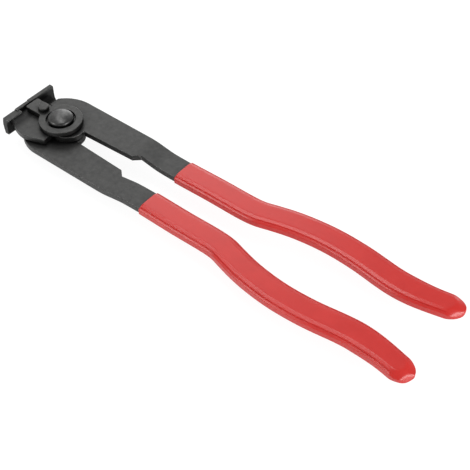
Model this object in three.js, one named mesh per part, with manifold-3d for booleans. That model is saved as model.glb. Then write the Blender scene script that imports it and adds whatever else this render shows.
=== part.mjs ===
// Ear clamp pliers: two stamped steel arms crossed on one bolt, with a tongue plate between the jaws.
// The +X axis runs from the pivot to the grip ends and the jaws point along -X.
// The origin is the centre of the bolt's lower end, the lowest point, with +Z up. Millimetres.
import * as THREE from 'three';
import { mergeVertices } from 'three/addons/utils/BufferGeometryUtils.js';
import Module from 'manifold-3d';

const wasm = await Module();
wasm.setup();

// Clearances
const runGap = 0.3;          // between pieces that turn on each other, and round a piece in its seat
const mouthHalfGap = 0.15;   // from the middle plane to each pinch edge with the jaws closed
const overrun = 1;           // how far a cutting solid runs past what it cuts

// Arm plate
const plate = 3.2;           // thickness of the stamped steel
const shoulderR = 19.9;      // outer edge round the pivot
const waistR = 9.35;         // inner edge round the pivot
const waistShift = 4.2;      // the inner edge's centre, behind the pivot
const waistRise = 0.8;       // and towards the arm's own handle
const slotEdgeStart = 2.5;   // inner edge's distance from the middle plane, where it leaves the waist
const slotEdgeEnd = 3.9;     // the same, where the handle narrows
const slotLength = 44.5;     // from the pivot to where the handle narrows
const stepRun = 3.4;         // length of the slanted step where it narrows
const neckInner = 7.2;       // inner edge behind the step
const frontFlat = 4.6;       // the front edge away from the arm's own jaw is cut straight, this far in

// Handle inside and ahead of the grip
const joggleStart = 42;      // the plate bends towards the middle plane from here
const joggleEnd = 60;
const handleLift = 0.5;      // how far each handle's middle lies from the middle plane
const handleHalfWidth = 6.35;
const tangHalfWidth = 5.2;   // inside the grip
const tangTaper = 12;        // length over which it narrows to that
const tangStopShort = 10;    // the steel ends this far inside the grip's tip

// Grip
const gripStart = 69.9;
const gripEnd = 219.9;
const gripHalfWidth = 7.05;
const gripTipHalfWidth = 6.2;
const gripSkin = 1;          // vinyl thickness outside the clearance
const gripStraightY = 13.05; // middle line of the straight front part
const kneeX = 110;           // the straight part ends and the grip bows outwards
const bowX = 155;            // widest place
const bowY = 20.3;
const dipX = 191;            // narrowest place behind the bow
const dipY = 17.3;
const tipY = 21.8;
const gripNose = 7.5;        // length over which the tip narrows
const noseDrop = 3;          // and over which it thins
const rimRound = 0.4;        // rounding of the rim at the start

// The middle line between those places, as shares of the way along and of the way across.
const kneeToBowShares = [[0.13, 0.08], [0.27, 0.32], [0.4, 0.54], [0.53, 0.72], [0.67, 0.855], [0.82, 0.955]];
const bowToDipShares = [[0.25, 0.1], [0.42, 0.27], [0.58, 0.52], [0.75, 0.8], [0.9, 0.97]];
const dipToTipShares = [[0.21, 0.06], [0.43, 0.22], [0.64, 0.46], [0.84, 0.74]];
const tipShare = 0.15;       // size left at the very end of a rounded tip

// A quarter of the grip's section from its side to its crown, as shares of half-width and half-thickness:
// a flat side, a narrow rib, the groove that runs along both edges, and the rounded edge of the palm face.
const sectionShares = [[1, 0], [0.995, 0.25], [0.975, 0.5], [0.935, 0.67], [0.885, 0.75], [0.84, 0.765],
  [0.805, 0.755], [0.775, 0.835], [0.71, 0.91], [0.61, 0.965], [0.47, 1]];

// Jaw
const lipBack = 22.5;        // rear face of the lip, ahead of the pivot
const lipThick = 3.1;        // to the bulge of the front face at mid height
const nearLean = 1;          // the front face's near edge lies this far behind the bulge
const farLean = 0.5;         // and its far edge this far
const lipHalfHeight = 5.5;   // above and below the middle plane
const lipOuter = 16.7;       // outer end of the lip
const lipRound = 0.5;        // rounding of the lip's long edges
const pinchLength = 7.4;     // the pinch part of the lip, relieved for the tongue
const shoulderDrop = 0.6;    // the rest of the near edge is this much lower
const shoulderFlare = 2.2;   // and this much thicker at the rear
const valleyEnd = 15.3;      // where the hollow behind the shoulder meets the flat plate
const farFillet = 1.8;       // fillet on the lip's other side
const jawNeckX = 18.3;       // step where the jaw plate narrows behind the lip
const jawNeckY = 14;
const jawRootX = 17.6;
const jawRootY = 15.9;
const jawBulgeX = 8.5;       // widest point of the jaw plate, ahead of the pivot
const jawBulgeY = 18.1;
const jawHeelX = 2.5;        // rear corner of the jaw plate, behind the pivot
const jawHeelY = 14.8;
const heelRound = 0.8;

// Pivot
const shankR = 4.5;
const threadR = 4;
const headR = 6.45;
const headRim = 2.73;        // height of the head's edge were its rounding a full quarter
const headTilt = (27 * Math.PI) / 180; // slope of the dome where it meets the rounding
const headRound = 0.5;       // rounding between edge and dome
const threadTip = 1.2;       // thread standing out of the nut
const threadChamfer = 0.6;
const nutHeight = 5;
const nutAcrossFlats = 13;
const washerR = 8;
const washerThick = 1.4;

// Tongue plate and its guide pin
const tonguePlate = 2.6;
const ringR = 11.15;
const recessR = 7.5;         // recess for the bolt head
const recessFloor = 1.1;     // steel left under the recess
const tongueReach = 21;
const tongueHalfWidth = 4.2;
const tongueRound = 1;
const pinX = 12.1;           // ahead of the pivot
const pinR = 1.9;
const pinHeadR = 2.85;
const pinHeadHeight = 2.2;
const pinHeadRound = 0.45;
const pinStub = 2.9;         // pin below the middle plane
const pinSwing = THREE.MathUtils.degToRad(16);

// Levels above the bolt's lower end, from the stack of pieces
const nutBase = threadTip;
const washerBase = nutBase + nutHeight;
const lowerArmBase = washerBase + washerThick + runGap;
const middle = lowerArmBase + plate + runGap / 2;
const upperArmTop = middle + runGap / 2 + plate;
const tongueBase = upperArmTop + runGap;
const headBase = tongueBase + recessFloor + runGap;

// Arm plate places, measured from the pivot axis and the middle plane
const frontCut = shoulderR - frontFlat;
const plateLow = runGap / 2;
const plateHigh = plateLow + plate;
const shankHoleR = shankR + runGap;

// Facets
const fine = 48;
const arcSteps = 20;
const filletSteps = 6;
const cornerSteps = 4;
const lineSteps = 300;
const handleStations = 32;
const joggleSteps = 10;
const gripStations = 28;
const rimSteps = 3;
const noseStations = 7;

const steel = { color: 0x34353a, roughness: 0.5, metalness: 0.75 };
const vinyl = { color: 0xc8302a, roughness: 0.42, metalness: 0 };

// Turns a closed three.js geometry into a solid.
function solid(geometry) {
  const bare = geometry.clone();
  bare.deleteAttribute('normal');
  bare.deleteAttribute('uv');
  const merged = mergeVertices(bare);
  const vertProperties = new Float32Array(merged.attributes.position.array);
  const triVerts = new Uint32Array(merged.index.array);
  return new wasm.Manifold(new wasm.Mesh({ numProp: 3, vertProperties, triVerts }));
}

// Turns a solid back into a named mesh.
function piece(name, body, look) {
  const mesh = body.getMesh();
  const geometry = new THREE.BufferGeometry();
  geometry.setAttribute('position', new THREE.BufferAttribute(new Float32Array(mesh.vertProperties), 3));
  geometry.setIndex(new THREE.BufferAttribute(new Uint32Array(mesh.triVerts), 1));
  geometry.computeVertexNormals();
  const result = new THREE.Mesh(geometry, new THREE.MeshStandardMaterial(look));
  result.name = name;
  return result;
}

// An outline in the XY plane, raised from one level to another.
function raised(shape, low, high) {
  const geometry = new THREE.ExtrudeGeometry(shape, {
    depth: high - low, bevelEnabled: false, curveSegments: arcSteps,
  });
  geometry.translate(0, 0, low);
  return solid(geometry);
}

// A profile drawn as (x, z), carried along Y from one place to another.
function carried(shape, from, to) {
  const geometry = new THREE.ExtrudeGeometry(shape, {
    depth: to - from, bevelEnabled: false, curveSegments: filletSteps,
  });
  geometry.rotateX(Math.PI / 2);
  geometry.translate(0, to, 0);
  return solid(geometry);
}

// A round piece about the pivot axis, from a profile of [radius, height] that starts and ends on the axis.
function turned(profile) {
  const points = profile.map(([r, z]) => new THREE.Vector2(r, z));
  const geometry = new THREE.LatheGeometry(points, fine);
  geometry.rotateX(Math.PI / 2);
  return solid(geometry);
}

// A plain disc or rod on the pivot axis.
function rod(radius, low, high) {
  return turned([[0, low], [radius, low], [radius, high], [0, high]]);
}

// A solid through rings of points, each ring with the same count, closed by flat ends.
function lofted(rings) {
  const count = rings[0].length;
  const positions = rings.flat().flatMap((p) => [p.x, p.y, p.z]);
  const index = [];
  for (let i = 0; i + 1 < rings.length; i += 1) {
    for (let j = 0; j < count; j += 1) {
      const a = i * count + j;
      const b = i * count + ((j + 1) % count);
      index.push(a, b, b + count, a, b + count, a + count);
    }
  }
  const last = (rings.length - 1) * count;
  for (let j = 1; j + 1 < count; j += 1) {
    index.push(0, j + 1, j);
    index.push(last, last + j, last + j + 1);
  }
  const geometry = new THREE.BufferGeometry();
  geometry.setAttribute('position', new THREE.Float32BufferAttribute(positions, 3));
  geometry.setIndex(index);
  return solid(geometry);
}

// Points between two places on the middle line, from a table of shares.
function between(x0, y0, x1, y1, shares) {
  return shares.map(([u, v]) => {
    const x = THREE.MathUtils.lerp(x0, x1, u);
    return new THREE.Vector3(x, THREE.MathUtils.lerp(y0, y1, v), 0);
  });
}

// The middle line shared by handle and grip: straight, a knee, a bow outwards, a dip and a flare.
const neckX = slotLength + stepRun;
const neckY = neckInner + handleHalfWidth;
const middleLine = new THREE.CatmullRomCurve3([
  new THREE.Vector3(slotLength, neckY, 0),
  new THREE.Vector3(neckX, neckY, 0),
  new THREE.Vector3(joggleEnd, gripStraightY - runGap / 2, 0),
  new THREE.Vector3(gripStart, gripStraightY - runGap, 0),
  new THREE.Vector3((gripStart + kneeX) / 2, gripStraightY, 0),
  new THREE.Vector3(kneeX, gripStraightY, 0),
  ...between(kneeX, gripStraightY, bowX, bowY, kneeToBowShares),
  new THREE.Vector3(bowX, bowY, 0),
  ...between(bowX, bowY, dipX, dipY, bowToDipShares),
  new THREE.Vector3(dipX, dipY, 0),
  ...between(dipX, dipY, gripEnd, tipY, dipToTipShares),
  new THREE.Vector3(gripEnd, tipY, 0),
], false, 'centripetal');
const lineSamples = middleLine.getSpacedPoints(lineSteps);

// The point and direction of the middle line at a given x.
function along(x) {
  let i = 1;
  while (i < lineSamples.length - 1 && lineSamples[i].x < x) i += 1;
  const a = lineSamples[i - 1];
  const b = lineSamples[i];
  const y = THREE.MathUtils.mapLinear(x, a.x, b.x, a.y, b.y);
  const slope = (b.y - a.y) / (b.x - a.x);
  const side = new THREE.Vector3(-slope, 1, 0).normalize();
  return { at: new THREE.Vector3(x, y, 0), side };
}

// How much of its full size a rounded tip has left, from the share of the way back from its end.
function roundOff(share) {
  return Math.max(Math.sqrt(1 - (1 - Math.min(share, 1)) ** 2), tipShare);
}

// The grip's section across the middle line, with half-width w and half-thickness h.
function gripRing(x, w, h) {
  const { at, side } = along(x);
  const quarter = sectionShares.map(([u, v]) => [u * w, v * h]);
  const back = quarter.slice(1).reverse();
  const outline = [
    ...quarter,
    ...back.map(([across, up]) => [-across, up]),
    ...quarter.map(([across, up]) => [-across, -up]),
    ...back.map(([across, up]) => [across, -up]),
  ];
  return outline.map(([across, up]) => {
    return at.clone().addScaledVector(side, across).add(new THREE.Vector3(0, 0, handleLift + up));
  });
}

// The height of the steel's middle above the middle plane: the joggle brings the handle down from the plate.
function handleLevel(x) {
  const share = THREE.MathUtils.smoothstep(x, joggleStart, joggleEnd);
  return THREE.MathUtils.lerp((plateLow + plateHigh) / 2, handleLift, share);
}

// The handle's half-width, with the narrower tang inside the grip.
function handleHalf(x) {
  const share = THREE.MathUtils.smoothstep(x, gripStart, gripStart + tangTaper);
  return THREE.MathUtils.lerp(handleHalfWidth, tangHalfWidth, share);
}

// The steel's side view as (x, z), grown by a margin, carried across the whole width.
function joggledSlab(start, end, grow) {
  const places = [start];
  for (let i = 0; i <= joggleSteps; i += 1) {
    places.push(THREE.MathUtils.lerp(joggleStart, joggleEnd, i / joggleSteps));
  }
  places.push(end);
  const half = plate / 2 + grow;
  const low = places.map((x) => new THREE.Vector2(x, handleLevel(x) - half));
  const high = places.map((x) => new THREE.Vector2(x, handleLevel(x) + half));
  return carried(new THREE.Shape([...low, ...high.reverse()]), -2 * shoulderR, 2 * shoulderR);
}

// The handle's two edges from the neck to the rounded end of the tang, grown by a margin.
function handleEdges(start, end, grow) {
  const outer = [];
  const inner = [];
  for (let i = 0; i <= handleStations + noseStations; i += 1) {
    const inNose = Math.max(i - handleStations, 0) / noseStations;
    const x = i < handleStations
      ? THREE.MathUtils.lerp(start, end - tangHalfWidth, i / handleStations)
      : end - tangHalfWidth * (1 - Math.sin(inNose * (Math.PI / 2)));
    const half = (handleHalf(x) + grow) * roundOff((end - x) / tangHalfWidth);
    const { at, side } = along(x);
    outer.push(at.clone().addScaledVector(side, half));
    inner.push(at.clone().addScaledVector(side, -half));
  }
  return { outer: outer.reverse(), inner };
}

// The arm's outline: shoulder round the pivot, waist, slot edge, step, handle and jaw plate.
function armOutline() {
  const shape = new THREE.Shape();
  const frontTurn = Math.acos(-frontCut / shoulderR);
  const pinIn = pinX - pinR - runGap;
  const pinLow = -(pinR + runGap);
  const reliefStart = Math.PI - pinSwing - Math.asin((pinR + 2 * runGap) / pinIn);
  const reliefEnd = Math.PI + Math.asin(-pinLow / pinIn);
  const heelAt = jawHeelX - waistShift - heelRound;
  const waistStart = Math.atan2(-Math.sqrt(waistR ** 2 - heelAt ** 2), heelAt);
  const waistEnd = Math.asin((slotEdgeStart - waistRise) / waistR);
  const { outer, inner } = handleEdges(neckX, gripEnd - tangStopShort, 0);
  shape.moveTo(outer[0].x, outer[0].y);
  for (const p of outer) shape.lineTo(p.x, p.y);
  shape.lineTo(0, shoulderR);
  shape.absarc(0, 0, shoulderR, Math.PI / 2, frontTurn, false);
  shape.lineTo(-frontCut, pinIn * Math.sin(reliefStart) + pinR);
  shape.absarc(0, 0, pinIn, reliefStart, reliefEnd, false);
  shape.lineTo(-lipBack - runGap, pinLow);
  shape.lineTo(-lipBack - runGap, -jawNeckY);
  shape.lineTo(-jawNeckX, -jawNeckY);
  shape.lineTo(-jawRootX, -jawRootY);
  shape.quadraticCurveTo(-(jawRootX + jawBulgeX) / 2, -jawBulgeY, -jawBulgeX, -jawBulgeY);
  shape.quadraticCurveTo(-jawHeelX, -(jawBulgeY + jawHeelY) / 2, jawHeelX - heelRound, -jawHeelY);
  shape.quadraticCurveTo(jawHeelX, -jawHeelY, jawHeelX, -jawHeelY + heelRound);
  shape.absarc(waistShift, waistRise, waistR, waistStart, waistEnd, false);
  shape.lineTo(slotLength, slotEdgeEnd);
  for (const p of inner) shape.lineTo(p.x, p.y);
  shape.closePath();
  return shape;
}

// The lip's wall as (x, z), with its near edge at a given level and its rear corner there flared.
function lipWall(topLevel, flare) {
  const bulge = -lipBack - lipThick;
  const shape = new THREE.Shape();
  shape.moveTo(bulge + farLean + lipRound, -lipHalfHeight);
  shape.lineTo(-lipBack - lipRound, -lipHalfHeight);
  shape.quadraticCurveTo(-lipBack, -lipHalfHeight, -lipBack, -lipHalfHeight + lipRound);
  shape.lineTo(-lipBack, plateLow);
  shape.quadraticCurveTo(-lipBack, plateHigh, -lipBack + flare, topLevel - lipRound);
  shape.quadraticCurveTo(-lipBack + flare, topLevel, -lipBack + flare - lipRound, topLevel);
  shape.lineTo(bulge + nearLean + lipRound, topLevel);
  shape.quadraticCurveTo(bulge + nearLean, topLevel, bulge + nearLean - lipRound / 2, topLevel - lipRound);
  shape.quadraticCurveTo(bulge, plateHigh / 2, bulge, 0);
  shape.quadraticCurveTo(bulge, -lipHalfHeight / 2, bulge + farLean, -lipHalfHeight + lipRound);
  shape.quadraticCurveTo(bulge + farLean, -lipHalfHeight, bulge + farLean + lipRound, -lipHalfHeight);
  shape.closePath();
  return shape;
}

// The plate's end as (x, z), running into the lip: a hollow on the near side and a fillet on the other.
function lipRoot(topLevel, flare) {
  const rise = topLevel - lipRound - plateHigh;
  const run = lipBack - flare - valleyEnd;
  const shape = new THREE.Shape();
  shape.moveTo(-lipBack - runGap, plateLow - farFillet);
  shape.lineTo(-lipBack, plateLow - farFillet);
  shape.absarc(-lipBack + farFillet, plateLow - farFillet, farFillet, Math.PI, Math.PI / 2, true);
  shape.lineTo(-valleyEnd, plateLow);
  shape.lineTo(-valleyEnd, plateHigh);
  shape.absellipse(-valleyEnd, plateHigh + rise, run, rise, -Math.PI / 2, -Math.PI, true);
  shape.lineTo(-lipBack - runGap, plateHigh + rise);
  shape.closePath();
  return shape;
}

// The whole jaw lip: a thick outer part with a hollow behind it, and a slimmer pinch part at the middle.
function jawLip() {
  const shoulder = lipHalfHeight - shoulderDrop;
  const outer = carried(lipWall(shoulder, shoulderFlare), -lipOuter, -pinchLength);
  const root = carried(lipRoot(shoulder, shoulderFlare), -jawNeckY, -pinchLength);
  const pinch = carried(lipWall(lipHalfHeight, 0), -pinchLength - overrun, -mouthHalfGap);
  return outer.add(root).add(pinch);
}

// One arm, in the upper arm's place: the joggled stamping with its jaw lip and pivot hole.
function arm() {
  const sheet = raised(armOutline(), -plateHigh, plateHigh + overrun);
  const slab = joggledSlab(-lipBack - overrun, gripEnd, 0);
  const hole = rod(shankHoleR, -overrun, plateHigh + overrun);
  return sheet.intersect(slab).add(jawLip()).subtract(hole);
}

// One grip: a dipped sleeve with a rounded rim, a rounded tip and the pocket for the handle.
function grip() {
  const high = plate / 2 + runGap + gripSkin;
  const places = [];
  for (let k = 0; k < rimSteps; k += 1) {
    places.push(gripStart + rimRound * (1 - Math.cos((k / rimSteps) * (Math.PI / 2))));
  }
  for (let i = 0; i < gripStations; i += 1) {
    places.push(THREE.MathUtils.lerp(gripStart + rimRound, gripEnd - gripNose, i / gripStations));
  }
  for (let k = 0; k <= noseStations; k += 1) {
    places.push(gripEnd - gripNose * (1 - Math.sin((k / noseStations) * (Math.PI / 2))));
  }
  const rings = places.map((x) => {
    const rim = Math.min((x - gripStart) / rimRound, 1);
    const tuck = rimRound * (1 - Math.sqrt(1 - (1 - rim) ** 2));
    const narrowing = roundOff((gripEnd - x) / gripNose);
    const thinning = roundOff((gripEnd - x) / noseDrop);
    const flank = THREE.MathUtils.smoothstep(x, dipX, gripEnd - gripNose);
    const w = THREE.MathUtils.lerp(gripHalfWidth, gripTipHalfWidth, flank) * narrowing - tuck;
    const h = high * thinning - tuck;
    return gripRing(x, w, h);
  });
  const { outer, inner } = handleEdges(neckX, gripEnd - tangStopShort + runGap, runGap);
  const pocket = raised(new THREE.Shape([...outer, ...inner]), -plateHigh, plateHigh)
    .intersect(joggledSlab(0, gripEnd, runGap));
  return lofted(rings).subtract(pocket);
}

// The tongue plate: a ring round the bolt head with a straight tongue between the jaws.
function tonguePlateSolid() {
  const ring = new THREE.Shape();
  const meet = Math.PI - Math.asin(tongueHalfWidth / ringR);
  ring.moveTo(ringR * Math.cos(meet), -tongueHalfWidth);
  ring.absarc(0, 0, ringR, -meet, meet, false);
  ring.lineTo(-tongueReach + tongueRound, tongueHalfWidth);
  ring.quadraticCurveTo(-tongueReach, tongueHalfWidth, -tongueReach, tongueHalfWidth - tongueRound);
  ring.lineTo(-tongueReach, -tongueHalfWidth + tongueRound);
  ring.quadraticCurveTo(-tongueReach, -tongueHalfWidth, -tongueReach + tongueRound, -tongueHalfWidth);
  ring.closePath();
  const pinHole = new THREE.Path();
  pinHole.absarc(-pinX, 0, pinR + runGap, 0, 2 * Math.PI, true);
  ring.holes.push(pinHole);
  return raised(ring, tongueBase, tongueBase + tonguePlate)
    .subtract(rod(shankHoleR, tongueBase - overrun, tongueBase + tonguePlate + overrun))
    .subtract(rod(recessR, tongueBase + recessFloor, tongueBase + tonguePlate + overrun));
}

// The guide pin: a short round head on the tongue plate and a stem between the two jaw plates.
function guidePin() {
  const seat = tongueBase + tonguePlate;
  const foot = middle - pinStub;
  const profile = [[0, foot], [pinR, foot], [pinR, seat], [pinHeadR, seat]];
  for (let k = 0; k <= cornerSteps; k += 1) {
    const turn = (k / cornerSteps) * (Math.PI / 2);
    const r = pinHeadR - pinHeadRound + pinHeadRound * Math.cos(turn);
    profile.push([r, seat + pinHeadHeight - pinHeadRound + pinHeadRound * Math.sin(turn)]);
  }
  profile.push([0, seat + pinHeadHeight]);
  return turned(profile);
}

// The pivot bolt: domed head, plain shank through both arms and a thread for the nut.
function pivotBolt() {
  const rim = headBase + headRim;
  const profile = [[0, 0], [threadR - threadChamfer, 0], [threadR, threadChamfer], [threadR, washerBase],
    [shankR, washerBase], [shankR, headBase], [headR, headBase]];
  for (let k = 0; k <= cornerSteps; k += 1) {
    const turn = (k / cornerSteps) * (Math.PI / 2 - headTilt);
    const r = headR - headRound + headRound * Math.cos(turn);
    profile.push([r, rim - headRound + headRound * Math.sin(turn)]);
  }
  const [domeR, domeBase] = profile[profile.length - 1];
  const domeRise = (domeR * Math.tan(headTilt)) / 2;
  for (let k = 1; k <= cornerSteps; k += 1) {
    const share = 1 - k / cornerSteps;
    profile.push([domeR * share, domeBase + domeRise * (1 - share ** 2)]);
  }
  return turned(profile);
}

// A six-sided nut with bevelled corners and the clearance round the thread.
function lockNut() {
  const cornerR = nutAcrossFlats / 2 / Math.cos(Math.PI / 6);
  const hex = new THREE.Shape();
  for (let k = 0; k < 6; k += 1) {
    const turn = (k * Math.PI) / 3;
    const x = cornerR * Math.cos(turn);
    const y = cornerR * Math.sin(turn);
    if (k === 0) hex.moveTo(x, y);
    else hex.lineTo(x, y);
  }
  hex.closePath();
  const bevel = cornerR - nutAcrossFlats / 2;
  const body = turned([[0, nutBase], [nutAcrossFlats / 2, nutBase], [cornerR + bevel, nutBase + bevel],
    [cornerR + bevel, washerBase], [0, washerBase]]);
  return raised(hex, nutBase, washerBase).intersect(body)
    .subtract(rod(threadR + runGap, nutBase - overrun, washerBase + overrun));
}

// A flat washer under the lower arm.
function flatWasher() {
  const top = washerBase + washerThick;
  return rod(washerR, washerBase, top).subtract(rod(shankHoleR, washerBase - overrun, top + overrun));
}

// Both sides are the same stampings: the lower one is turned half a turn about X.
const upperSide = new THREE.Group();
upperSide.position.z = middle;
upperSide.add(piece('upper_arm', arm(), steel), piece('upper_grip', grip(), vinyl));

const lowerSide = new THREE.Group();
lowerSide.position.z = middle;
lowerSide.rotation.x = Math.PI;
lowerSide.add(piece('lower_arm', arm(), steel), piece('lower_grip', grip(), vinyl));

const pliers = new THREE.Group();
pliers.add(upperSide, lowerSide);
const pin = piece('guide_pin', guidePin(), steel);
pin.position.x = -pinX;
pliers.add(
  piece('tongue_plate', tonguePlateSolid(), steel),
  pin,
  piece('pivot_bolt', pivotBolt(), steel),
  piece('lock_nut', lockNut(), steel),
  piece('flat_washer', flatWasher(), steel),
);

export default pliers;
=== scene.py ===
"""Ear clamp pliers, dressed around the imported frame.

Two black stamped arms cross on a domed bolt, a tongue plate lies under its head, and dipped vinyl
covers both handles. Sizes of pieces are in millimetres and become metres in the meshes. The studio
and the shader groups are in metres.
"""
import logging
import math
from dataclasses import dataclass, field
from enum import Enum

import bmesh
import bpy
import numpy as np
from mathutils import Matrix, Vector


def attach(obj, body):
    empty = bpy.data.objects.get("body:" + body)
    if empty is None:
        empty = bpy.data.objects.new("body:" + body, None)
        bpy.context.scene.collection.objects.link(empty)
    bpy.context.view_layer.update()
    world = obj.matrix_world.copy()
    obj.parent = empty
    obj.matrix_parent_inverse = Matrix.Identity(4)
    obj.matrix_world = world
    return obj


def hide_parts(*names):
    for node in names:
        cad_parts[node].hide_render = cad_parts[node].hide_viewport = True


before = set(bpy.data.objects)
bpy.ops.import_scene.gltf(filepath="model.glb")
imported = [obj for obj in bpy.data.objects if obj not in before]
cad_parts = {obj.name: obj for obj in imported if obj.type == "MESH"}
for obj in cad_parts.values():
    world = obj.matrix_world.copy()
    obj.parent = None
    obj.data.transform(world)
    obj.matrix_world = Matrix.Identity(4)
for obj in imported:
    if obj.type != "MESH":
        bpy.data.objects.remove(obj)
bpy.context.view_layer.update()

MM = 0.001
# Height of the plane between the two jaw plates, in millimetres.
MIDDLE = 11.25
# Points of an outline closer than this, in millimetres, are one.
SAME_POINT = 1e-6
LOG = logging.getLogger("pliers")

Triple = tuple[float, float, float]


class Body(Enum):
    """The moving bodies of the frame."""

    UPPER = "upper"
    LOWER = "lower"
    TONGUE = "tongue"


class Slot(Enum):
    """The record's material slots."""

    ARM_STEEL = "arm_steel"
    BOLT_STEEL = "bolt_steel"
    GRIP_VINYL = "grip_vinyl"


class Side(Enum):
    """Which of the two equal stampings: +1 as drawn, -1 turned half a turn about X."""

    UPPER = 1
    LOWER = -1

    @property
    def body(self) -> Body:
        """The body that this side's arm and grip ride on."""
        return Body.UPPER if self is Side.UPPER else Body.LOWER


# ---------------------------------------------------------------- meshes


def quarter_round(share: np.ndarray) -> np.ndarray:
    """Rise of a quarter circle at each share of its run, held at its ends."""
    return np.sqrt(1 - (1 - np.clip(share, 0, 1)) ** 2)


def smooth_curve(points: np.ndarray, count: int, closed: bool = False) -> np.ndarray:
    """Smooth curve through points, each span weighted by the root of its length.

    Three straight runs between neighbouring points are blended by their knots, in two steps, and
    that is worked out for all samples at once.

    Args:
        points: Control points, one a row.
        count: Samples for each span.
        closed: Whether the last point joins the first.

    Returns:
        The samples, one a row, with the last control point added when the curve is open.
    """
    if closed:
        ring = np.vstack([points[-1:], points, points[:2]])
    else:
        ring = np.vstack([2 * points[:1] - points[1:2], points, 2 * points[-1:] - points[-2:-1]])
    gaps = np.linalg.norm(np.diff(ring, axis=0), axis=1)
    knots = np.concatenate([[0.0], np.cumsum(np.sqrt(gaps))])
    spans = len(ring) - 3
    at = np.arange(spans)[:, None]
    t0, t1, t2, t3 = (knots[at + k] for k in range(4))
    t = t1 + (t2 - t1) * np.linspace(0, 1, count, endpoint=False)[None, :]
    p0, p1, p2, p3 = (ring[at + k] for k in range(4))

    def mix(a: np.ndarray, b: np.ndarray, low: np.ndarray, high: np.ndarray) -> np.ndarray:
        """Straight run from a to b between two knots."""
        share = ((t - low) / (high - low))[..., None]
        return a * (1 - share) + b * share

    a1, a2, a3 = mix(p0, p1, t0, t1), mix(p1, p2, t1, t2), mix(p2, p3, t2, t3)
    b1, b2 = mix(a1, a2, t0, t2), mix(a2, a3, t1, t3)
    curve = mix(b1, b2, t1, t2).reshape(-1, points.shape[1])
    return curve if closed else np.vstack([curve, points[-1:]])


def rounded(corners: np.ndarray, radii: np.ndarray, steps: int = 6) -> np.ndarray:
    """A polyline with each corner swapped for a parabola that starts its radius from the corner.

    Args:
        corners: Corner points, one a row, from end to end.
        radii: How far the rounding reaches from each corner; zero keeps it sharp.
        steps: Points for each rounding.

    Returns:
        The rounded polyline.
    """
    before = np.vstack([corners[1:2], corners[:-1]]) - corners
    after = np.vstack([corners[1:], corners[-2:-1]]) - corners
    radii = radii[:, None]
    start = corners + radii * before / np.linalg.norm(before, axis=1, keepdims=True)
    end = corners + radii * after / np.linalg.norm(after, axis=1, keepdims=True)
    start[0], end[-1] = corners[0], corners[-1]
    t = np.linspace(0, 1, steps)[None, :, None]
    arcs = (1 - t) ** 2 * start[:, None] + 2 * t * (1 - t) * corners[:, None] + t**2 * end[:, None]
    line = arcs.reshape(-1, corners.shape[1])
    moved = np.linalg.norm(np.diff(line, axis=0), axis=1) > SAME_POINT
    return line[np.concatenate([[True], moved])]


def grid_mesh(name: str, rows: np.ndarray, sharp: float) -> bpy.types.Object:
    """A surface from a grid of points, closed round each row.

    Args:
        name: Name of the piece.
        rows: Array of rows by columns by three, in millimetres.
        sharp: Edges that turn by more than this many degrees stay sharp.

    Returns:
        The new object, with doubled points merged and its faces turned outwards.
    """
    count, across = rows.shape[:2]
    start = np.arange(count - 1)[:, None] * across
    j = np.arange(across)[None, :]
    right = (j + 1) % across
    quads = np.stack([start + j, start + right, start + across + right, start + across + j], -1)
    mesh = bpy.data.meshes.new(name)
    mesh.from_pydata((rows.reshape(-1, 3) * MM).tolist(), [], quads.reshape(-1, 4).tolist())
    piece = clean_object(name, mesh)
    mesh.set_sharp_from_angle(angle=math.radians(sharp))
    return piece


def clean_object(
    name: str, mesh: bpy.types.Mesh, merge: float = 0.002, flat: float = 0.0
) -> bpy.types.Object:
    """Merges a mesh's doubled points, turns its faces outwards and puts it in the scene.

    Args:
        name: Name of the piece.
        mesh: The mesh.
        merge: Points closer than this many millimetres become one.
        flat: Faces that meet within this angle, in degrees, become one face.

    Returns:
        The new object.
    """
    work = bmesh.new()
    work.from_mesh(mesh)
    bmesh.ops.remove_doubles(work, verts=work.verts, dist=merge * MM)
    bmesh.ops.dissolve_degenerate(work, edges=work.edges, dist=merge * MM / 2)
    if flat:
        bmesh.ops.dissolve_limit(
            work, angle_limit=math.radians(flat), verts=work.verts, edges=work.edges
        )
    bmesh.ops.recalc_face_normals(work, faces=work.faces)
    work.to_mesh(mesh)
    work.free()
    mesh.shade_smooth()
    piece = bpy.data.objects.new(name, mesh)
    bpy.context.scene.collection.objects.link(piece)
    return piece


def lathe(name: str, profile: np.ndarray, sides: int = 96) -> bpy.types.Object:
    """A round piece: each profile point's radius swept through a full turn about the pivot axis.

    Args:
        name: Name of the piece.
        profile: Radius and height of each point; a closed section repeats its first point.
        sides: Points round the turn.

    Returns:
        The new object.
    """
    return grid_mesh(name, turned(profile[:, :1], profile[:, 1:], full_turn(sides)), sharp=35)


def full_turn(sides: int) -> np.ndarray:
    """Angles spread evenly round a full turn, in one row."""
    return np.linspace(0, 2 * np.pi, sides, endpoint=False)[None, :]


def turned(radius: np.ndarray, level: np.ndarray, turn: np.ndarray) -> np.ndarray:
    """Rings of points about the pivot axis, from their radius, level and angle."""
    return np.stack([radius * np.cos(turn), radius * np.sin(turn), level + 0 * turn], -1)


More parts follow.
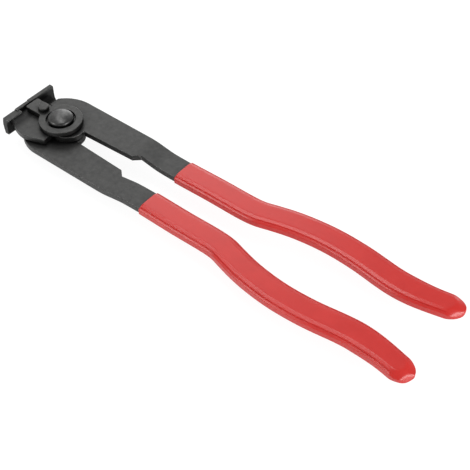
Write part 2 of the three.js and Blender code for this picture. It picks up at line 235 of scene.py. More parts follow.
def soften(
    piece: bpy.types.Object,
    width: float,
    square: tuple[float, ...],
    sharp: float = 32,
    within: float = 0.02,
    segments: int = 3,
) -> None:
    """Rounds the outer edges of a piece with a live bevel and keeps its flat faces flat.

    An edge is weighted one where its faces turn away from each other by more than the angle, and
    nought where they form an inner corner or where the edge lies in a plane that stays square.

    Args:
        piece: The piece.
        width: Width of the rounding, in millimetres.
        square: Distances from the XZ plane, in millimetres, at which edges stay square.
        sharp: Least turn of an edge that is rounded, in degrees.
        within: How far from such a plane an edge still counts as in it, in millimetres.
        segments: Faces across each rounding.
    """
    mesh = piece.data
    work = bmesh.new()
    work.from_mesh(mesh)
    weights = work.edges.layers.float.new("bevel_weight_edge")
    for edge in work.edges:
        turn = edge.calc_face_angle_signed() if edge.is_manifold else 0
        first, last = (abs(point.co.y) / MM for point in edge.verts)
        kept = any(max(abs(first - level), abs(last - level)) < within for level in square)
        rounds = turn > math.radians(sharp) and not kept
        edge[weights] = float(rounds)
        edge.smooth = rounds or abs(turn) < math.radians(sharp)
    work.to_mesh(mesh)
    work.free()
    bevel = piece.modifiers.new("edge_rounding", "BEVEL")
    bevel.width = width * MM
    bevel.segments = segments
    bevel.limit_method = "WEIGHT"
    bevel.use_clamp_overlap = False
    bevel.miter_outer = "MITER_ARC"
    even = piece.modifiers.new("flat_faces_stay_flat", "WEIGHTED_NORMAL")
    even.keep_sharp = True


# ---------------------------------------------------------------- finishes


class NodeTree:
    """Small wrapper that places nodes and joins their sockets."""

    def __init__(self, tree: bpy.types.NodeTree) -> None:
        """Keeps the tree and empties it."""
        self.tree = tree
        tree.nodes.clear()

    def add(self, kind: str, inputs: dict | None = None, **settings: object) -> bpy.types.Node:
        """Places one node.

        Args:
            kind: The node's type name.
            inputs: For each input's name or number, a value or another node's output socket.
            **settings: Attributes set on the node.

        Returns:
            The new node.
        """
        node = self.tree.nodes.new(kind)
        for key, value in settings.items():
            setattr(node, key, value)
        for key, value in (inputs or {}).items():
            if isinstance(value, bpy.types.NodeSocket):
                self.tree.links.new(value, node.inputs[key])
            else:
                node.inputs[key].default_value = value
        return node

    def maths(self, operation: str, *values: object) -> bpy.types.NodeSocket:
        """A Math node's result from its operation and up to three values."""
        node = self.add("ShaderNodeMath", dict(enumerate(values)), operation=operation)
        return node.outputs[0]

    def ranged(
        self, value: object, low: object, high: object, to_low: object, to_high: object
    ) -> bpy.types.NodeSocket:
        """A value carried from one range into another, held at its ends."""
        node = self.add("ShaderNodeMapRange", {0: value, 1: low, 2: high, 3: to_low, 4: to_high})
        return node.outputs[0]

    def blend(self, share: object, first: object, second: object) -> bpy.types.NodeSocket:
        """A colour between two others."""
        node = self.add("ShaderNodeMix", {0: share, 6: first, 7: second}, data_type="RGBA")
        return node.outputs[2]

    def dot(self, first: object, second: object) -> bpy.types.NodeSocket:
        """The dot product of two vectors."""
        node = self.add("ShaderNodeVectorMath", {0: first, 1: second}, operation="DOT_PRODUCT")
        return node.outputs["Value"]

    def noise(self, scale: object, detail: float, roughness: float) -> bpy.types.NodeSocket:
        """A noise's value at the piece's own place."""
        place = self.add("ShaderNodeTexCoord").outputs["Object"]
        inputs = {"Vector": place, "Scale": scale, "Detail": detail, "Roughness": roughness}
        return self.add("ShaderNodeTexNoise", inputs).outputs[0]


class SharedEffects:
    """Shader node groups used by more than one finish, each built once."""

    # Noise values at which the blotches are nought and one.
    SPREAD = (0.3, 0.7)
    # Dot product of the rounded and true normal where edge lightening (rubbing and painted
    # highlight) starts and where it is full.
    LEAN = (0.99, 0.8)
    # Noise values that break up the edge lightening, and the least share of it that stays.
    BREAKS = (0.35, 0.65)
    LEAST = 0.35
    # Open share of the sky where painted corner shade starts and where it is full.
    OPEN = (0.95, 0.5)
    # Distance from the plane between the jaw plates where painted shade behind the lips starts and
    # is full.
    SHOULDER = (0.0047, 0.0041)
    # Rays that each rounded normal and each look at the sky takes.
    SAMPLES = 6

    def __init__(self) -> None:
        """Builds the groups."""
        self.grain = self._grain()
        self.edge_wear_and_highlight = self._edge_wear_and_highlight()
        self.corner_shading = self._corner_shading()
        self.painted_hollow_shade = self._painted_hollow_shade()

    @staticmethod
    def _new(
        name: str, inputs: dict[str, float], *outputs: str
    ) -> tuple[NodeTree, bpy.types.Node, bpy.types.Node]:
        """Starts a group.

        Args:
            name: Name of the group.
            inputs: First value of each input.
            *outputs: Names of the outputs.

        Returns:
            The wrapped tree, its input node and its output node.
        """
        tree = bpy.data.node_groups.new(name, "ShaderNodeTree")
        for label, value in inputs.items():
            tree.interface.new_socket(
                name=label, in_out="INPUT", socket_type="NodeSocketFloat"
            ).default_value = value
        for label in outputs:
            tree.interface.new_socket(
                name=label, in_out="OUTPUT", socket_type="NodeSocketFloat"
            )
        nodes = NodeTree(tree)
        return nodes, nodes.add("NodeGroupInput"), nodes.add("NodeGroupOutput")

    def _grain(self) -> bpy.types.NodeTree:
        """Blotches and a fine grain: a coarse noise stretched to its full range, and a fine one.

        Returns:
            The group.
        """
        nodes, source, sink = self._new(
            "surface_grain", {"Blotch Size": 300, "Grain Size": 4000}, "Blotch", "Grain"
        )
        coarse = nodes.noise(source.outputs["Blotch Size"], detail=3.0, roughness=0.6)
        fine = nodes.noise(source.outputs["Grain Size"], detail=2.0, roughness=0.5)
        nodes.tree.links.new(nodes.ranged(coarse, *self.SPREAD, 0, 1), sink.inputs["Blotch"])
        nodes.tree.links.new(fine, sink.inputs["Grain"])
        return nodes.tree

    def _edge_wear_and_highlight(self) -> bpy.types.NodeTree:
        """Worn edges, lightened partly by rubbing and partly as painted highlight.

        How far the rounded normal leans from the true one, broken up by a noise.

        Returns:
            The group.
        """
        nodes, source, sink = self._new("edge_wear_and_highlight", {"Radius": 0.0005, "Break Up": 900}, "Mask")
        radius = {"Radius": source.outputs["Radius"]}
        bevelled = nodes.add("ShaderNodeBevel", radius, samples=self.SAMPLES).outputs[0]
        true_normal = nodes.add("ShaderNodeNewGeometry").outputs["True Normal"]
        lean = nodes.ranged(nodes.dot(bevelled, true_normal), *self.LEAN, 0, 1)
        noise = nodes.noise(source.outputs["Break Up"], detail=4.0, roughness=0.5)
        kept = nodes.ranged(noise, *self.BREAKS, self.LEAST, 1)
        nodes.tree.links.new(nodes.maths("MULTIPLY", lean, kept), sink.inputs["Mask"])
        return nodes.tree

    def _corner_shading(self) -> bpy.types.NodeTree:
        """Painted shade in corners: how little sky within reach a place sees, nought in the open.

        Returns:
            The group.
        """
        nodes, source, sink = self._new("painted_corner_shade", {"Reach": 0.006}, "Mask")
        reach = {"Distance": source.outputs["Reach"]}
        sky = nodes.add("ShaderNodeAmbientOcclusion", reach, samples=self.SAMPLES).outputs["AO"]
        nodes.tree.links.new(nodes.ranged(sky, *self.OPEN, 0, 1), sink.inputs["Mask"])
        return nodes.tree

    def _painted_hollow_shade(self) -> bpy.types.NodeTree:
        """Painted shade in the hollows behind the jaw lips.

        It grows from the flat plate towards the lip, and fades up the lip's shoulder with the
        distance from the plane between the two jaw plates.

        Returns:
            The group.
        """
        nodes, source, sink = self._new(
            "painted_shade_in_hollow", {"Plane": MIDDLE * MM, "From": -0.0128, "To": -0.0168}, "Mask"
        )
        place = nodes.add("ShaderNodeTexCoord").outputs["Object"]
        parts = nodes.add("ShaderNodeSeparateXYZ", {0: place}).outputs
        ends = source.outputs["From"], source.outputs["To"]
        along = nodes.ranged(parts["X"], *ends, 0, 1)
        height = nodes.maths("SUBTRACT", parts["Z"], source.outputs["Plane"])
        low = nodes.ranged(nodes.maths("ABSOLUTE", height), *self.SHOULDER, 0, 1)
        nodes.tree.links.new(nodes.maths("MULTIPLY", along, low), sink.inputs["Mask"])
        return nodes.tree


@dataclass(frozen=True, kw_only=True)
class Finish:
    """What every finish shares: blotches, and a raised grain with its height in millimetres."""

    name: str
    blotch_size: float
    grain_size: float
    grain_height: float
    grain_strength: float

    def start(
        self, effects: SharedEffects
    ) -> tuple[bpy.types.Material, NodeTree, bpy.types.NodeSocket, bpy.types.NodeSocket]:
        """Starts the material.

        Args:
            effects: The shared node groups.

        Returns:
            The material, its wrapped tree, the blotches' value and the grain's normal.
        """
        made = bpy.data.materials.new(self.name)
        made.use_nodes = True
        nodes = NodeTree(made.node_tree)
        sizes = {"Blotch Size": self.blotch_size, "Grain Size": self.grain_size}
        grain = nodes.add("ShaderNodeGroup", node_tree=effects.grain)
        for label, size in sizes.items():
            grain.inputs[label].default_value = size
        bump = nodes.add("ShaderNodeBump", {
            "Strength": self.grain_strength,
            "Distance": self.grain_height * MM,
            "Height": grain.outputs["Grain"],
        })
        return made, nodes, grain.outputs["Blotch"], bump.outputs[0]

    @staticmethod
    def shade(nodes: NodeTree, inputs: dict[str, object]) -> None:
        """Ends a tree in one Principled shader with these inputs."""
        shader = nodes.add("ShaderNodeBsdfPrincipled", inputs)
        nodes.add("ShaderNodeOutputMaterial", {"Surface": shader.outputs[0]})


@dataclass(frozen=True, kw_only=True)
class BlackedSteel(Finish):
    """Black-oxide steel: satin with blotches and a blasted grain.

    Its corners and the hollows behind the jaw lips are darkened with painted shade, and its edges
    are lightened, partly by rubbing and partly as painted highlight, where no shade lies.
    """

    dark: Triple
    light: Triple
    # Colour of lightened edges: partly rubbing, partly painted highlight.
    worn_and_highlight: Triple
    # Colour of the painted shade in corners and behind the jaw lips.
    painted_shade: Triple = (0.02, 0.02, 0.02)
    metallic: float = 1.0
    smooth: float
    rough: float
    # Share of that colour on the edges: rubbing and painted highlight.
    wear_and_highlight: float
    # Share of painted shade in corners, from how little sky they see.
    corner_shade: float = 0.55
    # Share of painted shade in the hollows behind the jaw lips.
    scale: float = 0.0
    grain_strength: float = 0.5

    def material(self, effects: SharedEffects) -> bpy.types.Material:
        """Builds the material.

        Args:
            effects: The shared node groups.

        Returns:
            The material.
        """
        made, nodes, blotch, normal = self.start(effects)
        # Masks: lightened edges, painted corner shade and painted shade behind the jaw lips.
        wear_and_highlight, corners, painted_hollow_shade = (
            nodes.add("ShaderNodeGroup", node_tree=group).outputs["Mask"]
            for group in (effects.edge_wear_and_highlight, effects.corner_shading, effects.painted_hollow_shade)
        )
        skin = nodes.blend(blotch, (*self.dark, 1), (*self.light, 1))
        # Painted shade: corners and the hollows behind the jaw lips blend towards the dark colour.
        corner_shade = nodes.maths("MULTIPLY", corners, self.corner_shade)
        dim = nodes.maths("MAXIMUM", corner_shade, nodes.maths("MULTIPLY", painted_hollow_shade, self.scale))
        dimmed = nodes.blend(dim, skin, (*self.painted_shade, 1))
        # Edges are lightened, partly by rubbing and partly as painted highlight, where no painted
        # shade lies.
        rubbed_and_highlit = nodes.maths("MULTIPLY", wear_and_highlight, self.wear_and_highlight)
        rubbed_and_highlit = nodes.maths("MULTIPLY", rubbed_and_highlit, nodes.maths("SUBTRACT", 1.0, dim))
        self.shade(nodes, {
            "Base Color": nodes.blend(rubbed_and_highlit, dimmed, (*self.worn_and_highlight, 1)),
            "Roughness": nodes.ranged(blotch, 0, 1, self.rough, self.smooth),
            "Metallic": self.metallic,
            "Normal": normal,
        })
        return made


@dataclass(frozen=True, kw_only=True)
class DippedVinyl(Finish):
    """Red vinyl dip: glossy, with faintly uneven colour and gloss."""

    deep: Triple = (0.53, 0.02, 0.016)
    bright: Triple = (0.58, 0.024, 0.019)
    smooth: float = 0.28
    rough: float = 0.31
    ior: float = 1.5
    blotch_size: float = 110
    grain_size: float = 900
    grain_height: float = 0.01
    grain_strength: float = 0.15

    def material(self, effects: SharedEffects) -> bpy.types.Material:
        """Builds the material.

        Args:
            effects: The shared node groups.

        Returns:
            The material.
        """
        made, nodes, blotch, normal = self.start(effects)
        self.shade(nodes, {
            "Base Color": nodes.blend(blotch, (*self.deep, 1), (*self.bright, 1)),
            "Roughness": nodes.ranged(blotch, 0, 1, self.smooth, self.rough),
            "Normal": normal,
            "IOR": self.ior,
        })
        return made


# ---------------------------------------------------------------- sub-assemblies


@dataclass
class SubAssembly:
    """What every sub-assembly shares: the shader groups and the list of its pieces."""

    effects: SharedEffects
    pieces: list[bpy.types.Object] = field(default_factory=list, init=False)

    def dress(
        self,
        piece: bpy.types.Object,
        body: Body,
        slot: Slot,
        material: bpy.types.Material,
        *nodes: str,
    ) -> None:
        """Gives a piece its material and body, and lets it stand for its CAD nodes.

        Args:
            piece: The piece.
            body: The body that it moves with.
            slot: The record's slot that it takes its finish from; not used.
            material: Its material.
            *nodes: CAD nodes that it replaces.
        """
        piece.data.materials.clear()
        piece.data.materials.append(material)
        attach(piece, body.value)
        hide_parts(*nodes)
        self.pieces.append(piece)

    @staticmethod
    def edged_copy(
        node: str, name: str, width: float, square: tuple[float, ...] = ()
    ) -> bpy.types.Object:
        """A merged copy of a CAD node whose edges are rounded as a stamping's are.

        Args:
            node: The CAD node.
            name: Name of the new piece.
            width: Width of the rounding, in millimetres.
            square: Distances from the XZ plane, in millimetres, at which edges stay square.

        Returns:
            The new piece.
        """
        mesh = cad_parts[node].data.copy()
        mesh.name = name
        piece = clean_object(name, mesh, merge=0.01, flat=0.6)
        soften(piece, width, square)
        return piece


@dataclass
class Grip(SubAssembly):
    """One vinyl grip: the section carried along the handle's middle line."""

    side: Side = Side.UPPER
    lift: float = 0.5
    start: float = 69.9
    end: float = 219.9
    half_width: float = 7.05
    tip_half_width: float = 6.2
    half_thickness: float = 2.9
    # Place along the handle where it starts to narrow to the tip.
    taper_start: float = 191.0
    # Length of the rounded tip, and of its drop at the very end.
    nose: float = 7.5
    nose_drop: float = 0.6
    # The slope that cuts the tip's height: its angle, its height at the outline, the distances from
    # the end over which it is lifted off, how far, and how sharply the lesser of two is blended.
    nose_tilt: float = 29.0
    nose_edge: float = 0.8
    nose_ease: float = 2.5
    nose_reach: float = 12.0
    nose_free: float = 4.0
    nose_blend: float = 4.0
    # Drip facet at the tip: the way that it faces, a point on its plane, and its softness.
    facet_faces: Triple = (0.73, -0.42, 0.54)
    facet_upper: Triple = (216.6, 14.3, 11.75)
    facet_lower: Triple = (215.9, -27.0, 10.75)
    facet_soft: float = 0.25
    # The mouth: its rim's rounding, how far the sleeve goes on inside it, and the steel there.
    rim: float = 0.4
    mouth_depth: float = 3.0
    steel_half_width: float = 6.35
    steel_half_thickness: float = 1.6
    # Numbers of rings round the rim, along the sleeve and over the tip, and samples of each curve.
    rim_rings: int = 6
    rings_along: int = 190
    nose_rings: int = 40
    section_samples: int = 4
    line_samples: int = 24
    # Middle line: x and y of its control points.
    line: tuple[tuple[float, float], ...] = (
        (44.5, 13.55), (47.9, 13.55), (60, 12.9), (69.9, 12.75), (89.95, 13.05), (110, 13.05),
        (115.85, 13.63), (122.15, 15.37), (128, 16.965), (133.85, 18.27), (140.15, 19.249),
        (146.9, 19.974), (155, 20.3), (164, 20), (170.12, 19.49), (175.88, 18.74), (182, 17.9),
        (187.4, 17.39), (191, 17.3), (197.07, 17.57), (203.43, 18.29), (209.5, 19.37),
        (215.28, 20.63), (219.9, 21.8),
    )
    # Quarter of the section from its side to its crown, as shares of half-width and half-thickness.
    quarter: tuple[tuple[float, float], ...] = (
        (1, 0), (1, 0.25), (0.998, 0.4), (0.99, 0.5), (0.95, 0.6), (0.91, 0.7), (0.89, 0.725),
        (0.87, 0.71), (0.852, 0.66), (0.838, 0.66), (0.826, 0.72), (0.812, 0.79), (0.795, 0.822),
        (0.725, 0.876), (0.65, 0.931), (0.59, 0.973), (0.545, 0.991), (0.48, 0.999), (0.2, 1),
        (0, 1),
    )

    def section(self) -> np.ndarray:
        """The closed section: the quarter mirrored into four, and one smooth curve through it.

        Returns:
            The section's points, as shares of half-width and half-thickness.
        """
        quarter = np.array(self.quarter, float)
        half = np.vstack([quarter, (quarter * [-1, 1])[-2::-1]])
        ring = np.vstack([half, (half * [1, -1])[-2:0:-1]])
        return smooth_curve(ring, self.section_samples, closed=True)

    def middle_line(self, x: np.ndarray) -> tuple[np.ndarray, np.ndarray]:
        """The handle's middle line at each x, and the direction across it.

        Args:
            x: Places along the handle.

        Returns:
            The y of the line and its unit side vectors.
        """
        curve = smooth_curve(np.array(self.line, float), self.line_samples)
        y = np.interp(x, curve[:, 0], curve[:, 1])
        slope = np.interp(x, curve[:, 0], np.gradient(curve[:, 1], curve[:, 0]))
        side = np.stack([-slope, np.ones_like(slope)], -1)
        return y, side / np.linalg.norm(side, axis=1, keepdims=True)

    def places(self) -> np.ndarray:
        """Where the rings lie along the handle, closer together round the rim and over the tip.

        Returns:
            The places, from the rim to the end.
        """
        rim_turn = np.linspace(0, np.pi / 2, self.rim_rings, endpoint=False)
        nose_turn = np.linspace(0, np.pi / 2, self.nose_rings)
        inner, outer = self.start + self.rim, self.end - self.nose
        return np.concatenate([
            self.start + self.rim * (1 - np.cos(rim_turn)),
            np.linspace(inner, outer, self.rings_along, endpoint=False),
            self.end - self.nose * (1 - np.sin(nose_turn)),
        ])

    def outer_rings(self, x: np.ndarray, section: np.ndarray) -> tuple[np.ndarray, np.ndarray]:
        """The section at each place, scaled by the half-width and half-thickness there.

        The rim rounds inwards to the steel. The tip closes as a quarter ellipse in plan. There a
        slope that climbs inwards from the outline cuts the section's height, and the lesser of the
        two is blended softly.

        Args:
            x: Places along the handle.
            section: The section's shares.

        Returns:
            How far each point lies across the handle, and how far above its middle.
        """
        tuck = self.rim * (1 - quarter_round((x - self.start) / self.rim))
        back = self.end - x
        narrow = quarter_round(back / self.nose)[:, None]
        taper_length = self.end - self.nose - self.taper_start
        flank = np.clip((x - self.taper_start) / taper_length, 0, 1)
        flank = flank**2 * (3 - 2 * flank)
        full = (self.half_width + (self.tip_half_width - self.half_width) * flank)[:, None]
        across = (full * narrow - tuck[:, None]) * section[:, 0]
        up = (self.half_thickness - tuck)[:, None] * section[:, 1]
        out = np.hypot(1 - np.clip(back / self.nose, 0, 1)[:, None], narrow * section[:, 0])
        inset = np.clip(1 - out, 0, 1) * full
        ease = np.clip((back - self.nose_ease) / (self.nose_reach - self.nose_ease), 0, 1)[:, None]
        slope = math.tan(math.radians(self.nose_tilt))
        limit = self.nose_edge + slope * inset + self.nose_free * ease**2
        high, cap = (np.exp(-self.nose_blend * height) for height in (np.abs(up), limit))
        up = -np.sign(up) * np.log(high + cap - high * cap) / self.nose_blend
        return across, up * quarter_round(back / self.nose_drop)[:, None]

    def mouth(self, section: np.ndarray) -> np.ndarray:
        """The sleeve's inside at its mouth: the section's rays out to the steel's own rectangle.

        Args:
            section: The section's shares.

        Returns:
            Where each ray meets the rectangle.
        """
        rays = section * [self.half_width, self.half_thickness]
        steel = [self.steel_half_width, self.steel_half_thickness]
        return rays / np.max(np.abs(rays) / steel, axis=1, keepdims=True)

    def rings(self) -> np.ndarray:
        """The rings of the sleeve, from inside its mouth, round the rim and along to the tip.

        Returns:
            The rings, in millimetres.
        """
        x = self.places()
        section = self.section()
        across, up = self.outer_rings(x, section)
        mouth_across, mouth_up = self.mouth(section).T
        x = np.concatenate([[self.start + self.mouth_depth, self.start], x])
        across = np.vstack([mouth_across, mouth_across, across])
        up = np.vstack([mouth_up, mouth_up, up])
        y, side = self.middle_line(x)
        rows = np.stack([
            x[:, None] + across * side[:, :1],
            y[:, None] + across * side[:, 1:],
            self.lift + up,
        ], -1)
        turn = np.array([1, self.side.value, self.side.value])
        return self.faceted(rows * turn + [0, 0, MIDDLE])

    def faceted(self, rows: np.ndarray) -> np.ndarray:
        """The rings with the tip's drip facet: what lies beyond its plane is pressed onto it.

        Args:
            rows: The rings, in millimetres.

        Returns:
            The rings, moved against the facet's direction by the soft excess over the plane.
        """
        plane = self.facet_upper if self.side is Side.UPPER else self.facet_lower
        faces = np.array(self.facet_faces) / np.linalg.norm(self.facet_faces)
        beyond = (rows - plane) @ faces
        excess = np.logaddexp(0, beyond / self.facet_soft) * self.facet_soft
        return rows - faces * excess[..., None]

    def build(self) -> None:
        """Makes the grip and dresses it."""
        body = self.side.body
        piece = grid_mesh(f"{body.value}_grip_sleeve", self.rings(), sharp=60)
        vinyl = DippedVinyl(name=f"{body.value}_vinyl").material(self.effects)
        self.dress(piece, body, Slot.GRIP_VINYL, vinyl, f"{body.value}_grip")


@dataclass
class Arm(SubAssembly):
    """One stamped steel arm with the vinyl grip on its handle."""

    side: Side = Side.UPPER
    edge: float = 0.32
    # Distances from the XZ plane of the neck's two sides and of the pinch relief between them.
    neck_planes: tuple[float, ...] = (7.4, 8.4, 14.0)

    def build(self) -> None:
        """Makes the arm and its grip."""
        body = self.side.body
        name = f"{body.value}_arm"
        piece = self.edged_copy(name, f"{name}_steel", self.edge, self.neck_planes)
        steel = BlackedSteel(
            name=f"{body.value}_black_oxide",
            dark=(0.065, 0.065, 0.064),
            light=(0.075, 0.075, 0.0735),
            worn_and_highlight=(0.5, 0.5, 0.49),
            smooth=0.42,
            rough=0.5,
            blotch_size=420,
            grain_size=5200,
            grain_height=0.02,
            wear_and_highlight=1.0,
            # Painted shade in the hollows behind the jaw lips.
            scale=0.82,
        ).material(self.effects)
        self.dress(piece, body, Slot.ARM_STEEL, steel, name)
        grip = Grip(self.effects, side=self.side)
        grip.build()
        self.pieces += grip.pieces


@dataclass
class Pivot(SubAssembly):
    """The bolt with its domed head, the lock nut and the washer."""

    thread_r: float = 4.0
    shank_r: float = 4.5
    head_r: float = 6.45
    nut_base: float = 1.2
    washer_base: float = 6.2
    washer_top: float = 7.6
    head_base: float = 16.3
    # Head: top of the rim's rounding and its radius, slope of the dome there, and its under side's
    # chamfer and roundings, one for each corner.
    rim_top: float = 19.24
    rim_round: float = 1.4
    dome_tilt: float = 27.0
    head_chamfer: float = 0.3
    head_rounds: tuple[float, ...] = (0, 0, 0.2, 0.12, 0.15, 0)
    # Thread: its pitch and depth, the share of it that is flat at crest and root, and its chamfer.
    pitch: float = 1.25
    thread_depth: float = 0.35
    thread_flat: float = 0.2
    thread_chamfer: float = 0.6
    # Nut: width over its flats, and the cone that bevels its corners: how far within the flats it
    # starts, how steeply it widens and how high it can reach. Then its bore's gap and chamfer.
    flats: float = 13.0
    cone_inset: float = 0.1
    cone_slope: float = 1.73
    cone_height: float = 1.0
    bore_gap: float = 0.05
    bore_chamfer: float = 0.5
    # Washer: its radius, the gap round the shank, the height in its bore where the profile closes,
    # and its roundings, one for each corner.
    washer_r: float = 8.0
    washer_gap: float = 0.3
    washer_seam: float = 0.5
    washer_rounds: tuple[float, ...] = (0, 0.1, 0.3, 0.3, 0.1, 0)
    # Numbers of points for each rounding, of rings, and of points round the turn.
    head_round_points: int = 8
    washer_round_points: int = 5
    rim_rings: int = 16
    dome_rings: int = 24
    thread_rings: int = 120
    cone_rings: int = 12
    nut_rings: int = 5
    sides: int = 120
    nut_sides: int = 144

    def head(self) -> bpy.types.Object:
        """The bolt's head and shank: a chamfered under-edge, a rim band, its rounding and the dome.

        The rounding is an arc that ends at the dome's slope, and the dome is a parabola over the
        rest.

        Returns:
            The head.
        """
        r, base, chamfer = self.head_r, self.head_base, self.head_chamfer
        corners = np.array([
            [0, self.washer_base], [self.shank_r, self.washer_base], [self.shank_r, base],
            [r - chamfer, base], [r, base + chamfer], [r, self.rim_top - self.rim_round],
        ])
        body = rounded(corners, np.array(self.head_rounds), self.head_round_points)
        tilt = math.radians(self.dome_tilt)
        turn = np.linspace(0, np.pi / 2 - tilt, self.rim_rings)[1:, None]
        rim = self.rim_round * np.hstack([np.cos(turn) - 1, np.sin(turn) - 1]) + [r, self.rim_top]
        edge_r, edge_z = rim[-1]
        share = np.linspace(1, 0, self.dome_rings)[1:, None]
        rise = edge_r * math.tan(tilt) / 2
        dome = np.hstack([edge_r * share, edge_z + rise * (1 - share**2)])
        return lathe("bolt_head", np.vstack([body, rim, dome]), self.sides)

    def thread(self) -> bpy.types.Object:
        """The bolt's threaded end: radius less a triangle wave that climbs one pitch a turn.

        The wave is stretched and clipped, so that its crest and root are flat.

        Returns:
            The thread.
        """
        turn = full_turn(self.sides)
        level = np.linspace(0, self.washer_base, self.thread_rings)[:, None]
        phase = (level / self.pitch - turn / (2 * np.pi)) % 1
        wave = np.abs(2 * phase - 1) * (1 + 2 * self.thread_flat) - self.thread_flat
        chamfer = np.clip(self.thread_r - self.thread_chamfer + level, 0, self.thread_r)
        radius = np.minimum(self.thread_r - self.thread_depth * np.clip(wave, 0, 1), chamfer)
        rows = turned(radius, level, turn)
        end = np.zeros_like(rows[:1])
        top = end + [0, 0, self.washer_base]
        return grid_mesh("bolt_thread", np.concatenate([end, rows, top]), sharp=30)

    def nut(self) -> bpy.types.Object:
        """The lock nut: the lesser of a hexagon's radius and a cone's, with a bore through it.

        Returns:
            The nut.
        """
        apothem = self.flats / 2
        turn = full_turn(self.nut_sides)
        hexagon = apothem / np.cos((turn + np.pi / 6) % (np.pi / 3) - np.pi / 6)
        low, high = self.nut_base, self.washer_base
        level = np.concatenate([
            np.linspace(low, low + self.cone_height, self.cone_rings),
            np.linspace(low + self.cone_height, high, self.nut_rings)[1:],
        ])[:, None]
        cone = apothem - self.cone_inset + self.cone_slope * (level - low)
        outer = np.minimum(hexagon, cone)
        bore = self.thread_r + self.bore_gap + 0 * turn
        radius = np.concatenate([bore, bore + self.bore_chamfer, outer, bore, bore])
        inside = [[low + self.bore_chamfer]]
        levels = np.concatenate([inside, [[low]], level, [[high]], inside])
        return grid_mesh("lock_nut_hex", turned(radius, levels, turn), sharp=25)

    def washer(self) -> bpy.types.Object:
        """The flat washer: a rounded rectangle swept round the bolt.

        Returns:
            The washer.
        """
        inner, outer = self.shank_r + self.washer_gap, self.washer_r
        low, high = self.washer_base, self.washer_top
        seam = [inner, low + self.washer_seam]
        corners = np.array([seam, [inner, low], [outer, low], [outer, high], [inner, high], seam])
        rounds = np.array(self.washer_rounds)
        return lathe("washer_disc", rounded(corners, rounds, self.washer_round_points))

    def build(self) -> None:
        """Makes the pivot's pieces."""
        steel = BlackedSteel(
            name="bolt_black_oxide",
            dark=(0.078, 0.078, 0.077),
            light=(0.125, 0.125, 0.123),
            worn_and_highlight=(0.3, 0.3, 0.29),
            smooth=0.33,
            rough=0.43,
            blotch_size=700,
            grain_size=4200,
            grain_height=0.012,
            wear_and_highlight=0.6,
        ).material(self.effects)
        for piece, node in (
            (self.head(), "pivot_bolt"),
            (self.thread(), "pivot_bolt"),
            (self.nut(), "lock_nut"),
            (self.washer(), "flat_washer"),
        ):
            self.dress(piece, Body.UPPER, Slot.BOLT_STEEL, steel, node)


@dataclass
class Tongue(SubAssembly):
    """The tongue plate round the bolt head and the guide pin that steers it."""

    edge: float = 0.3
    # Guide pin: its place ahead of the pivot, its radius and foot, and its head above the plate.
    pin_x: float = 12.1
    pin_r: float = 1.9
    foot: float = 8.35
    foot_chamfer: float = 0.3
    seat: float = 17.5
    pin_head_r: float = 2.85
    pin_head: float = 2.2
    # How far the head's edge lies below its crown, and the crown's share of its radius.
    crown_drop: float = 0.1
    crown_share: float = 0.6
    # Rounding of each corner of the pin's profile.
    pin_rounds: tuple[float, ...] = (0, 0.1, 0.1, 0, 0.08, 0.5, 0.5, 0)
    pin_sides: int = 64

    def pin(self) -> bpy.types.Object:
        """The guide pin: a stem with a chamfered foot and a low domed head, about its own axis.

        Returns:
            The pin.
        """
        r, head_r, top = self.pin_r, self.pin_head_r, self.seat + self.pin_head
        profile = rounded(np.array([
            [0, self.foot], [r - self.foot_chamfer, self.foot], [r, self.foot + self.foot_chamfer],
            [r, self.seat], [head_r, self.seat], [head_r, top - self.crown_drop],
            [head_r * self.crown_share, top], [0, top],
        ]), np.array(self.pin_rounds))
        piece = lathe("guide_pin_rivet", profile, self.pin_sides)
        piece.data.transform(Matrix.Translation((-self.pin_x * MM, 0, 0)))
        return piece

    def build(self) -> None:
        """Makes the tongue plate and its pin."""
        steel = BlackedSteel(
            name="tongue_black_oxide",
            dark=(0.065, 0.065, 0.064),
            light=(0.078, 0.078, 0.076),
            worn_and_highlight=(0.5, 0.5, 0.49),
            smooth=0.4,
            rough=0.5,
            blotch_size=600,
            grain_size=5200,
            grain_height=0.015,
            wear_and_highlight=0.7,
        ).material(self.effects)
        plate = self.edged_copy("tongue_plate", "tongue_plate_steel", self.edge)
        self.dress(plate, Body.TONGUE, Slot.ARM_STEEL, steel, "tongue_plate")
        self.dress(self.pin(), Body.TONGUE, Slot.ARM_STEEL, steel, "guide_pin")


# ---------------------------------------------------------------- studio


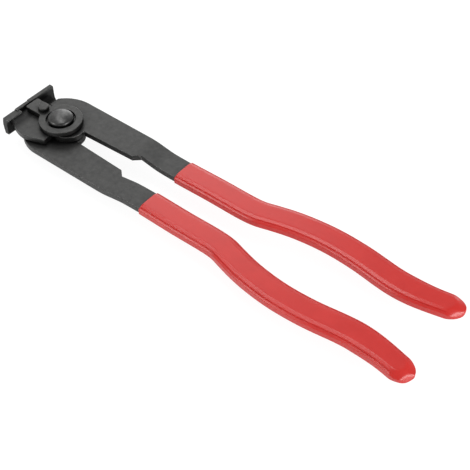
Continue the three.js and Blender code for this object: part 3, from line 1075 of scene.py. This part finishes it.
@dataclass
class Studio:
    """White floor, soft lamps and the photograph's camera."""

    eye: Triple = (0.3067, -0.2457, 0.34235)
    target: Triple = (0.11484, -0.0037, 0.01125)
    lens: float = 75.97
    sensor: float = 36.0
    clip: tuple[float, float] = (0.01, 50.0)
    centre: Triple = (0.1, 0, 0.01)
    # Floor: half its size, its tone to diffuse and to glossy rays, and the shade and glow that the
    # camera sees.
    floor_half: float = 4.0
    floor_tones: tuple[float, float] = (0.92, 1.2)
    floor_shade: Triple = (0.18, 0.18, 0.18)
    floor_glow: float = 0.9
    # Surround: the way to its back, the dot products between which a reflection brightens, its
    # strengths there, and its strength to diffuse rays.
    back: Triple = (-0.75, 0.6, 0.1)
    back_from_to: tuple[float, float] = (0.3, 0.8)
    mirrored: tuple[float, float] = (0.22, 0.7)
    fill: float = 0.58

    def floor(self) -> None:
        """A pale floor that the camera sees as white, apart from the object's shadow."""
        half = self.floor_half
        corners = [(-half, -half, 0), (half, -half, 0), (half, half, 0), (-half, half, 0)]
        mesh = bpy.data.meshes.new("studio_floor")
        mesh.from_pydata(corners, [], [(0, 1, 2, 3)])
        floor = bpy.data.objects.new("studio_floor", mesh)
        bpy.context.scene.collection.objects.link(floor)
        made = bpy.data.materials.new("studio_white")
        made.use_nodes = True
        nodes = NodeTree(made.node_tree)
        path = nodes.add("ShaderNodeLightPath").outputs
        tone = nodes.ranged(path["Is Glossy Ray"], 0, 1, *self.floor_tones)
        matt = nodes.add("ShaderNodeBsdfDiffuse", {"Color": tone})
        shade = nodes.add("ShaderNodeBsdfDiffuse", {"Color": (*self.floor_shade, 1)})
        glow = nodes.add(
            "ShaderNodeEmission", {"Color": (1, 1, 1, 1), "Strength": self.floor_glow}
        )
        lit = nodes.add("ShaderNodeAddShader", {0: shade.outputs[0], 1: glow.outputs[0]})
        clear = nodes.add("ShaderNodeBsdfTransparent")
        backfacing = nodes.add("ShaderNodeNewGeometry").outputs["Backfacing"]
        shown = self.either(nodes, path["Is Camera Ray"], matt, lit)
        both = self.either(nodes, backfacing, shown, clear)
        nodes.add("ShaderNodeOutputMaterial", {"Surface": both.outputs[0]})
        mesh.materials.append(made)

    @staticmethod
    def either(
        nodes: NodeTree, share: bpy.types.NodeSocket, first: bpy.types.Node, second: bpy.types.Node
    ) -> bpy.types.Node:
        """One shader where the share is nought and another where it is one."""
        inputs = {0: share, 1: first.outputs[0], 2: second.outputs[0]}
        return nodes.add("ShaderNodeMixShader", inputs)

    def world(self) -> None:
        """A pale surround: white to the camera, and to a reflection white behind and dim in front.

        The reflected strength grows with the dot product of the direction and the studio's back.
        """
        world = bpy.data.worlds.new("studio_surround")
        bpy.context.scene.world = world
        world.use_nodes = True
        nodes = NodeTree(world.node_tree)
        path = nodes.add("ShaderNodeLightPath").outputs
        way = nodes.add("ShaderNodeTexCoord").outputs["Generated"]
        mirrored = nodes.ranged(nodes.dot(way, self.back), *self.back_from_to, *self.mirrored)
        strength = nodes.ranged(path["Is Glossy Ray"], 0, 1, self.fill, mirrored)
        strength = nodes.maths("MAXIMUM", strength, path["Is Camera Ray"])
        light = nodes.add("ShaderNodeBackground", {"Color": (1, 1, 1, 1), "Strength": strength})
        nodes.add("ShaderNodeOutputWorld", {"Surface": light.outputs[0]})

    @staticmethod
    def aimed(name: str, data: bpy.types.ID, place: Triple, aim: Triple) -> bpy.types.Object:
        """Puts a lamp or a camera in the scene.

        Args:
            name: Name of the object.
            data: The lamp's or camera's data.
            place: Where it hangs, in metres.
            aim: Where it points.

        Returns:
            The new object.
        """
        hung = bpy.data.objects.new(name, data)
        hung.location = place
        hung.rotation_euler = (Vector(aim) - Vector(place)).to_track_quat("-Z", "Y").to_euler()
        bpy.context.scene.collection.objects.link(hung)
        return hung

    def lamp(
        self, name: str, place: Triple, aim: Triple, size: tuple[float, float], power: float
    ) -> None:
        """A soft rectangular lamp.

        Args:
            name: Name of the lamp.
            place: Where it hangs, in metres.
            aim: Where it points.
            size: Its width and height, in metres.
            power: Its power, in watts.
        """
        data = bpy.data.lights.new(name, "AREA")
        data.shape = "RECTANGLE"
        data.size, data.size_y = size
        data.energy = power
        self.aimed(name, data, place, aim)

    def camera(self) -> None:
        """The camera at the photograph's angle, with no depth of field and no shift."""
        data = bpy.data.cameras.new("photo_camera")
        data.lens = self.lens
        data.sensor_width = self.sensor
        data.clip_start, data.clip_end = self.clip
        bpy.context.scene.camera = self.aimed("photo_camera", data, self.eye, self.target)

    def build(self) -> None:
        """Sets the stage, the lamps, the camera and the view transform."""
        self.floor()
        self.world()
        centre = self.centre
        self.lamp("back_softbox", (-0.5, 0.55, 0.68), centre, (0.6, 0.45), 1.4)
        self.lamp("horizon_softbox", (-0.42, 0.72, 0.15), centre, (0.47, 0.27), 0.9)
        self.lamp("overhead_strip", (-0.2, 0.085, 0.91), (-0.2, 0.085, 0), (0.56, 0.15), 1.7)
        self.lamp("right_softbox", (1.05, -0.02, 0.33), centre, (0.5, 0.4), 5.0)
        self.lamp("front_softbox", (-0.33, -0.72, 0.54), centre, (0.42, 0.28), 2.2)
        self.camera()
        bpy.context.scene.view_settings.view_transform = "Standard"


def main() -> None:
    """Builds the sub-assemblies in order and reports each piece."""
    logging.basicConfig(level=logging.INFO, format="%(name)s: %(message)s")
    Studio().build()
    effects = SharedEffects()
    for assembly in (
        Arm(effects, side=Side.UPPER),
        Arm(effects, side=Side.LOWER),
        Pivot(effects),
        Tongue(effects),
    ):
        assembly.build()
        for piece in assembly.pieces:
            LOG.info("%s with %d faces", piece.name, len(piece.data.polygons))


if __name__ == "__main__":
    main()
